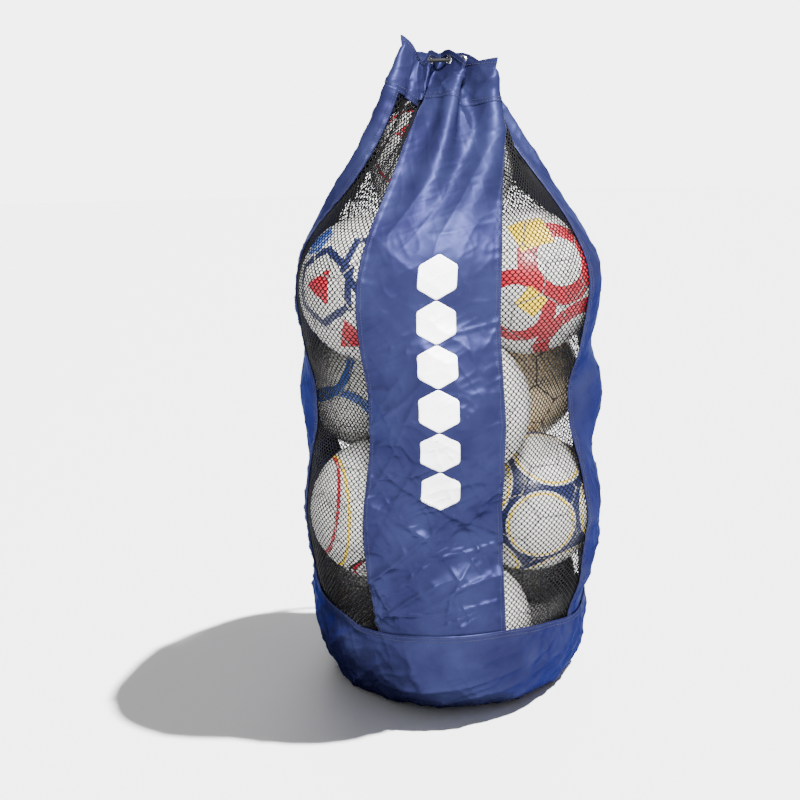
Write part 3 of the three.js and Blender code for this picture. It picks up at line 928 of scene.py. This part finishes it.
# Each ball: base colour, then its paint: (shape, facts of the shape, colour, width of line or 0 to fill).
RING, PATCH, DISCS = ring_field, patch_field, disc_field
BALL_LOOKS = {
    1: (WHITE, [(RING, (60, 30, 50), BLACK, 0.007), (RING, (60, 30, 62), YELLOW, 0.002)]),
    2: (WHITE, [(PATCH, (90, 10, 24, 5), NAVY, 0)]),
    3: (WHITE, [(PATCH, (250, 10, 24, 6), RED, 0)]),
    4: (NAVY, [(DISCS, (5, 29.5), WHITE, 0), (DISCS, (5, 27.0), YELLOW, 0.0030)]),
    5: (WHITE, [(PATCH, (180, 10, 22, 5), BLUE, 0)]),
    6: (WHITE, [(RING, (-70, 10, 42), RED, 0.006), (RING, (-66, 4, 50), YELLOW, 0.0045),
                (RING, (20, -50, 30), RED, 0.006), (RING, (26, -56, 37), BLACK, 0.004)]),
    7: (WHITE, []),
    8: (TAN, []),
    9: (WHITE, [(RING, (-44, 26, 30), BLUE, 0.013), (RING, (-24, -30, 34), BLUE, 0.013),
                (RING, (-80, -10, 30), BLUE, 0.011), (RING, (-60, -2, 12), NAVY, 0.008)]),
    10: (WHITE, [(RING, (32, 22, 27), RED, 0.028), (RING, (58, -42, 27), RED, 0.024),
                 (RING, (-6, -14, 25), RED, 0.022), (PATCH, (8, 48, 14, 4, 20), YELLOW, 0),
                 (PATCH, (6, -8, 9, 4, 50), YELLOW, 0)]),
    11: (WHITE, [(PATCH, (200, 20, 22, 5), NAVY, 0)]),
    12: (WHITE, [(PATCH, (-34, 8, 25, 6, 0), NAVY, 0.010), (PATCH, (-34, 8, 8, 3, 0), RED, 0),
                 (PATCH, (14, 24, 22, 6, 30), NAVY, 0.009), (PATCH, (-10, -34, 9, 3, 40), RED, 0),
                 (PATCH, (-60, 44, 12, 5, 0), BLUE, 0)]),
    13: (WHITE, [(RING, (-30, 20, 30), RED, 0.007), (PATCH, (-10, 30, 12, 3), RED, 0)]),
}


def make_ball(number, centre):
    base, paint = BALL_LOOKS[number]
    directions = BALL_DIRECTIONS @ random_turn(number).T
    puff = PUFF * (1 - np.exp(-SEAM_DISTANCE / 0.006))
    groove = GROOVE_DEPTH * np.exp(-(SEAM_DISTANCE / GROOVE_WIDTH)**2)
    points = centre + directions * (BALL_RADIUS - PUFF + puff - groove)[:, None]
    layers = [(f"paint_{k}", colour, width) for k, (_, _, colour, width) in enumerate(paint)]
    seam, slot = (BROWN_SEAM, "ball_tan") if base is TAN else (PALE_SEAM, "ball_skin")
    material = ball_material(f"ball_{number}_leather", base, layers, seam)
    obj = mesh_object(f"football_{number}", points, BALL_FACES, material, slot, replaces=[f"ball_{number}"])
    fields = {"seam": SEAM_DISTANCE}
    for k, (shape, facts, _, _) in enumerate(paint):
        fields[f"paint_{k}"] = shape(directions, *facts)
    for name, values in fields.items():
        attribute = obj.data.attributes.new(name, "FLOAT", "POINT")
        attribute.data.foreach_set("value", values.astype(np.float32))


for number, centre in enumerate(BALLS, 1):
    make_ball(number, centre)

# ---- Panels ----
EDGE_FOLD = 0.009            # the panel's edge is turned under by this much
SOLID_LIFT = 0.0009
PANEL_ROWS, PANEL_COLUMNS = 340, 110
PANEL_STITCHES = (0.0025, 0.0075)        # distances of the two rows from the panel's edge
STITCH = 0.0032
STITCH_GAP = 0.0011
# One stitch, along its length: place, height over the cloth, and radius.
STITCH_PLACES = np.array([0, 0.18, 0.5, 0.82, 1.0])
STITCH_RISE = np.array([-0.00025, 0.0002, 0.0003, 0.0002, -0.00025])
STITCH_RADII = np.array([0.00022, 0.00034, 0.00036, 0.00034, 0.00022])


def panel_lift(u, v, middle, seed):
    """How far a solid panel's outer face stands off the cloth: creases, puckers and its double edge."""
    from_edge = SOLID_WIDTH / 2 - np.abs(u - middle)
    low = 1 - smoothstep(v, 0.10, 0.42)
    high = smoothstep(v, 0.48, 0.66)
    depth = 0.75 + 0.75 * low - 0.45 * high if middle == 0 else 0.45 + 0.3 * low
    lift = creased(u, v, seed) * depth * smoothstep(v - seam_v(u), -0.002, 0.022)
    wander = 3 * lattice(v * 9, u * 0, seed + 3)
    lift += 0.0006 * np.cos(2 * math.pi * v / 0.017 + wander) * np.exp(-from_edge / 0.014)
    lift = np.maximum(lift, -0.0012) * smoothstep(from_edge, -0.002, 0.004)
    doubled = 1 - smoothstep(from_edge, EDGE_FOLD - 0.001, EDGE_FOLD + 0.001)
    return lift + SOLID_LIFT + CLOTH_THICK * doubled


def stitches(name, rows):
    """Short rounded threads end to end along each row. A row is its points and the directions outward."""
    points, quads, caps, start = [], [], [], 0
    for line, normal in rows:
        distance = travelled(line)
        begin = np.arange(0, distance[-1] - STITCH, STITCH + STITCH_GAP)
        at = begin[:, None] + STITCH * STITCH_PLACES
        centre = read_line(at, distance, line)
        out = unit(read_line(at, distance, normal))
        along = unit(centre[:, -1:] - centre[:, :1])
        side = unit(np.cross(out, along))
        centre = centre + out * STITCH_RISE[:, None]
        ring = circle(turns(6), side[:, :, None], out[:, :, None])
        block = centre[:, :, None] + ring * STITCH_RADII[:, None, None]
        index = closed(start + np.arange(block.size // 3).reshape(block.shape[:3]))
        points.append(block.reshape(-1, 3))
        quads.append(quads_of(index))
        caps.append(np.concatenate([index[:, 0, :-1][:, ::-1], index[:, -1, :-1]]))
        start += len(points[-1])
    faces = [np.concatenate(quads), np.concatenate(caps)]
    return mesh_object(name, np.concatenate(points), faces, THREAD, "nylon")


share = np.linspace(0, 1, PANEL_ROWS)[:, None]
for k, word in enumerate(["front", "right", "back", "left"]):
    middle = k * QUARTER
    seed = 20 * k + 1
    across = np.linspace(-SOLID_WIDTH / 2, SOLID_WIDTH / 2, PANEL_COLUMNS) + middle
    u = np.broadcast_to(across, (PANEL_ROWS, PANEL_COLUMNS))
    foot = seam_v(u) - 0.004
    v = foot + share * (BODY_LENGTH - foot)
    lift = panel_lift(u, v, middle, seed)
    panel = sheet_object(f"cloth_panel_{word}", u, v, lift, replaces=[f"solid_panel_{word}"])
    rows = []
    for edge in (-1, 1):
        for inset in PANEL_STITCHES:
            line_u = np.full(900, middle + edge * (SOLID_WIDTH / 2 - inset))
            line_v = np.linspace(seam_v(line_u[0]), BODY_LENGTH, 900)
            rows.append(raised(line_u, line_v, panel_lift(line_u, line_v, middle, seed)))
    sewing = stitches(f"panel_stitching_{word}", rows)

# ---- Mesh ----
CELL_WIDE = 0.0085
CELL_TALL = 0.0044
CELL_EDGE = np.array([(0.00425, 0.0006), (0, 0.0038), (-0.00425, 0.0006),
                      (-0.00425, -0.0006), (0, -0.0038), (0.00425, -0.0006)])
HOLE_EDGE = np.array([(0.0031, 0.0008), (0, 0.0027), (-0.0031, 0.0008),
                      (-0.0031, -0.0008), (0, -0.0027), (0.0031, -0.0008)])
CELL_REACH, HOLE_REACH = CELL_EDGE[0, 0], HOLE_EDGE[0, 0]
SMALLEST_HOLE = 0.12         # share of the hole's width that is left where the mesh is gathered
SAME_PLACE = 0.00004         # corners nearer than this are joined
NET_THICK = 0.0006
NET_TUCK = 0.005             # the mesh goes on under the solid panels by this much


def net_panel(name, left, right, node):
    """Knitted mesh: a lattice of six-sided holes, each cell cut out of the cloth."""
    left, right = left - NET_TUCK, right + NET_TUCK
    rows = np.arange(int((BODY_LENGTH + 0.035) / CELL_TALL) + 1)[:, None]
    columns = np.arange(int((right - left) / CELL_WIDE) + 2)
    centre_u = left + columns * CELL_WIDE + (rows % 2) * CELL_WIDE / 2
    centre_v = np.broadcast_to(-0.030 + rows * CELL_TALL, centre_u.shape)
    keep = (centre_v > seam_v(centre_u) - 0.008) & (centre_v < BODY_LENGTH) & (centre_u < right)
    centre_u, centre_v = centre_u[keep], centre_v[keep]
    # Where the mesh is gathered its strands stay as thick as they were and its holes close up.
    beside = cloth_point(centre_u + 0.004, centre_v) - cloth_point(centre_u - 0.004, centre_v)
    gathered = np.clip(np.linalg.norm(beside, axis=1) / 0.008, 0.2, 1)
    hole = (CELL_REACH - (CELL_REACH - HOLE_REACH) / gathered) / HOLE_REACH
    hole = np.clip(hole, SMALLEST_HOLE, 1)
    corners = np.concatenate([CELL_EDGE, HOLE_EDGE])
    narrowed = np.where(np.arange(12) < 6, 1.0, hole[:, None])
    u = np.clip(centre_u[:, None] + corners[:, 0] * narrowed, left, right)
    v = centre_v[:, None] + corners[:, 1]
    ring = np.array([(k, 6 + k, 6 + (k + 1) % 6, (k + 1) % 6) for k in range(6)])
    quads = (ring[None] + 12 * np.arange(len(u))[:, None, None]).reshape(-1, 4)
    places = np.round(np.stack([u.ravel(), v.ravel()], axis=1) / SAME_PLACE).astype(int)
    _, first, same = np.unique(places, axis=0, return_index=True, return_inverse=True)
    quads = same.ravel()[quads]
    u, v = u.ravel()[first], v.ravel()[first]
    whole = np.all(quads != np.roll(quads, 1, axis=1), axis=1)
    outer = cloth_point(u, v)
    points = np.concatenate([outer, outer - cloth_normal(u, v) * NET_THICK])
    faces = both_sides(quads[whole][:, ::-1], len(u))
    obj = mesh_object(name, points, faces, NET, "net", replaces=[node])


for k, word in enumerate(["front_right", "back_right", "back_left", "front_left"]):
    start = k * QUARTER + SOLID_WIDTH / 2
    net_panel(f"net_panel_{word}", start, start + NET_WIDTH, f"mesh_panel_{word}")

# ---- Base band and disc ----
BAND_LIFT = 0.0022
HEM_RISE = 0.0006            # how much thicker the cloth is where it is turned under
BAND_GRID = (60, 500)
BAND_STITCHES = (0.0015, 0.0065)         # distances of the two rows below the seam
DISC_GRID = (30, 96)
DISC_TOP = 0.0016


def band_lift(u, v):
    top = v - seam_v(u)
    grow = smoothstep(v, -BAND_LENGTH, -BAND_LENGTH + 0.03)
    lift = creased_ring(u, v + 0.3, 70) * 0.8 * grow * (1 - 0.7 * smoothstep(top, -0.012, 0))
    return BAND_LIFT * grow + lift + HEM_RISE * smoothstep(top, -0.008, -0.006)


wide = np.arange(BAND_GRID[1]) * CLOTH_ROUND / BAND_GRID[1]
u = np.broadcast_to(wide, BAND_GRID)
v = -BAND_LENGTH + np.linspace(0, 1, BAND_GRID[0])[:, None] * (seam_v(u) + 0.002 + BAND_LENGTH)
band = sheet_object("cloth_band", u, v, band_lift(u, v), wrap=True, replaces=["base_band"])
rows = []
for inset in BAND_STITCHES:
    line_u = np.linspace(0, CLOTH_ROUND, 2400)
    line_v = seam_v(line_u) - inset
    rows.append(raised(line_u, line_v, band_lift(line_u, line_v)))
sewing = stitches("base_stitching", rows)

radii = np.linspace(0.004, BASE_RADIUS, DISC_GRID[0])[:, None]
bearings = np.degrees(turns(DISC_GRID[1]))
points = [polar(radii, bearings, height).reshape(-1, 3) for height in (DISC_TOP, LOWEST_FACE)]
faces = both_sides(grid_faces(*DISC_GRID, True)[:, ::-1], math.prod(DISC_GRID))
disc = mesh_object("cloth_disc", np.concatenate(points), faces, NYLON_DARK, "nylon", replaces=["base_disc"])

# ---- Collar ----
COLLAR_LIFT = 0.0022
COLLAR_SINK = 0.0016         # how much less of it is left above the seam
COLLAR_FOOT = BODY_LENGTH - 0.004
COLLAR_STITCHES = (BODY_LENGTH - 0.0015, BODY_LENGTH + 0.0035, COLLAR_TOP - 0.0075)
EYELET_HOLE = 0.0056


def collar_lift(u, v):
    above = smoothstep(v, COLLAR_FOOT, COLLAR_FOOT + 0.012)
    below = 1 - smoothstep(v, COLLAR_TOP - 0.02, COLLAR_TOP)
    lift = creased_ring(u, v + 0.7, 90) * 0.6 * above * below
    hem = HEM_RISE * smoothstep(v, COLLAR_TOP - 0.0095, COLLAR_TOP - 0.0085)
    return lift + hem + COLLAR_LIFT - COLLAR_SINK * smoothstep(v, BODY_LENGTH, BODY_LENGTH + 0.02)


wide = np.arange(640) * CLOTH_ROUND / 640
tall = np.linspace(COLLAR_FOOT, COLLAR_TOP, 40)
u, v = np.broadcast_arrays(wide[None], tall[:, None])
cloth = cloth_point(u, v)
keep = np.min([np.linalg.norm(cloth - centre, axis=2) for centre in EYELETS], axis=0) > EYELET_HOLE
keep = keep[:-1] & keep[1:]
keep = keep & np.roll(keep, -1, axis=1)
collar = sheet_object("cloth_collar", u, v, collar_lift(u, v), wrap=True, keep=keep, replaces=["collar"])
rows = []
for height in COLLAR_STITCHES:
    line_u = np.linspace(0, CLOTH_ROUND, 3000)
    line_v = np.full(3000, height)
    rows.append(raised(line_u, line_v, collar_lift(line_u, line_v)))
sewing = stitches("collar_stitching", rows)

# ---- Eyelets ----
# Closed outlines of (radius, height).
RIM_PROFILE = [(0.0041, -0.0008), (0.0041, 0.0010), (0.0044, 0.0017), (0.0052, 0.0021), (0.0062, 0.0020),
               (0.0072, 0.0014), (0.0078, 0.0006), (0.0078, 0.0003), (0.0070, 0.0004), (0.0056, 0.0006),
               (0.0049, 0.0000)]
WASHER_PROFILE = [(0.0043, -0.0004), (0.0050, -0.0014), (0.0062, -0.0018), (0.0074, -0.0013),
                  (0.0078, -0.0006), (0.0070, -0.0007), (0.0056, -0.0006)]
RIM_SIDES = 48


def lathe(name, centre, axis, profile, replaces):
    """A nickel ring turned about an axis."""
    first = unit(np.cross(axis, [0, 0, 1.0]))
    spoke = circle(turns(RIM_SIDES), first, np.cross(axis, first))
    shape = np.array(profile)
    points = centre + shape[:, :1, None] * spoke + shape[:, 1:, None] * axis
    quads = grid_faces(len(shape) + 1, RIM_SIDES, True) % (len(shape) * RIM_SIDES)
    mesh_object(name, points.reshape(-1, 3), quads, NICKEL, "nickel", replaces=replaces)


line_u = np.linspace(0, CLOTH_ROUND, 4001)[:-1]
spots = cloth_point(line_u, EYELET_LINE)
for number, centre in enumerate(EYELETS, 1):
    nearest = np.argmin(np.linalg.norm(spots - centre, axis=1))
    axis = cloth_normal(line_u[nearest], EYELET_LINE, 0.006)
    lathe(f"eyelet_rim_{number}", centre, axis, RIM_PROFILE, [f"eyelet_{number}"])
    lathe(f"eyelet_back_{number}", centre, axis, WASHER_PROFILE, [f"eyelet_washer_{number}"])

# ---- Cord lock ----
SPRING_RADIUS, SPRING_TURNS = 0.0036, 3.5
SPRING_WIRE = 0.00022
SPRING_FOOT, SPRING_LOW, SPRING_HIGH = -0.0118, -0.0116, -0.0064     # along the lock, from its centre


def bevelled_copy(name, node, body, width):
    """A plastic part as the CAD has it, with its edges rounded."""
    obj = bpy.data.objects.new(name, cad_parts[node].data.copy())
    bpy.context.scene.collection.objects.link(obj)
    obj.data.materials.clear()
    obj.data.materials.append(PLASTIC)
    bevel = obj.modifiers.new("bevel", "BEVEL")
    bevel.width = width
    bevel.segments = 3
    bevel.limit_method = "ANGLE"
    bevel.angle_limit = math.radians(35)
    obj.data.set_sharp_from_angle(angle=math.radians(40))
    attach(obj, body)
    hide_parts(node)


bevelled_copy("lock_barrel", "cord_lock_body", "cord_lock", 0.0006)
bevelled_copy("lock_plunger", "cord_lock_plunger", "lock_button", 0.0004)
t = np.linspace(0, 1, 220)
coil = SPRING_RADIUS * circle(2 * math.pi * SPRING_TURNS * t, RUN_ACROSS, RUN_DOWN)
path = LOCK_CENTRE + coil + np.outer(SPRING_LOW + (SPRING_HIGH - SPRING_LOW) * t, RUN_OUT)
spring = mesh_object("lock_spring", *tube_mesh(path, SPRING_WIRE, 10), STEEL, "spring_steel",
                     body="cord_lock", replaces=["cord_lock_spring"])
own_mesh(spring)

# ---- Print ----
# A column of plain marks up the front panel, each a hexagon with its corners cut.
MARK_MIDDLE_U, MARK_LOW, MARK_HIGH, MARK_COUNT = 0.011, 0.272, 0.587, 6
MARK_RADIUS = 0.0315
MARK_GRID = (12, 72)
PRINT_LIFT, PRINT_THICK = 0.00035, 0.0002

rings = np.linspace(0.001, 1, MARK_GRID[0])[:, None]
angle = turns(MARK_GRID[1])
hexagon = math.cos(math.pi / 6) / np.cos((angle + math.pi / 6) % (math.pi / 3) - math.pi / 6)
reach = rings * MARK_RADIUS * np.minimum(hexagon, 0.97)
mark_faces = both_sides(grid_faces(*MARK_GRID, True)[:, ::-1], reach.size)
points, faces = [], []
for k, middle_v in enumerate(np.linspace(MARK_LOW, MARK_HIGH, MARK_COUNT)):
    u = MARK_MIDDLE_U + reach * np.cos(angle)
    v = middle_v + reach * np.sin(angle)
    outer, normal = raised(u, v, panel_lift(u, v, 0.0, 1) + PRINT_LIFT)
    points += [outer.reshape(-1, 3), (outer - normal * PRINT_THICK).reshape(-1, 3)]
    faces.append(mark_faces + k * 2 * reach.size)
mesh_object("panel_print", np.concatenate(points), np.concatenate(faces), PRINT, "nylon")

# ---- Floor and lights ----
bpy.ops.mesh.primitive_plane_add(size=30, location=(0, 0, 0))
floor = bpy.context.object
floor.name = "floor"
floor.data.materials.append(new_material("floor_white", from_screen(248, 248, 249), 0.6))


def add_light(name, kind, bearing, rise, distance, power):
    """A light that shines on the middle of the bag."""
    data = bpy.data.lights.new(name, kind)
    data.energy = power
    lamp = bpy.data.objects.new(name, data)
    outward = Vector(towards(bearing, rise))
    lamp.location = MIDDLE + outward * distance
    lamp.rotation_euler = (-outward).to_track_quat("-Z", "Y").to_euler()
    bpy.context.scene.collection.objects.link(lamp)
    return lamp


def floor_collection(name):
    collection = bpy.data.collections.new(name)
    collection.objects.link(floor)
    return collection


# The key is flagged off the floor, so that the sun's shadow there stays deep.
key = add_light("key", "AREA", 14, 47, 2.6, 430)
key.data.size = 0.6
flag = floor_collection("flagged")
flag.collection_objects[0].light_linking.link_state = "EXCLUDE"
key.light_linking.receiver_collection = flag
# The sun, and more of it for the floor alone, so that the floor is white.
for name, power, lit in (("sun", 10.0, None), ("floor_sun", 8.0, floor_collection("pool"))):
    sun = add_light(name, "SUN", 106, 64, 2.6, power)
    sun.data.angle = math.radians(1.5)
    sun.light_linking.receiver_collection = lit

# The surroundings: a white room, brightest behind the bag.
world = bpy.data.worlds.new("white")
bpy.context.scene.world = world
world.use_nodes = True
background = world.node_tree.nodes["Background"]
background.inputs["Color"].default_value = (1.0, 1.0, 1.0, 1.0)
place = add_node(world, "ShaderNodeTexCoord")
facing = calculate(world, "ShaderNodeVectorMath", "DOT_PRODUCT")
facing.inputs[1].default_value = towards(186, 0).tolist()
level = add_node(world, "ShaderNodeMapRange", From_Min=0.80, From_Max=0.93, To_Min=0.27, To_Max=5.2)
level.interpolation_type = "SMOOTHSTEP"
link(world, place.outputs["Generated"], facing.inputs[0])
link(world, facing.outputs["Value"], level.inputs["Value"])
link(world, level.outputs["Result"], background.inputs["Strength"])
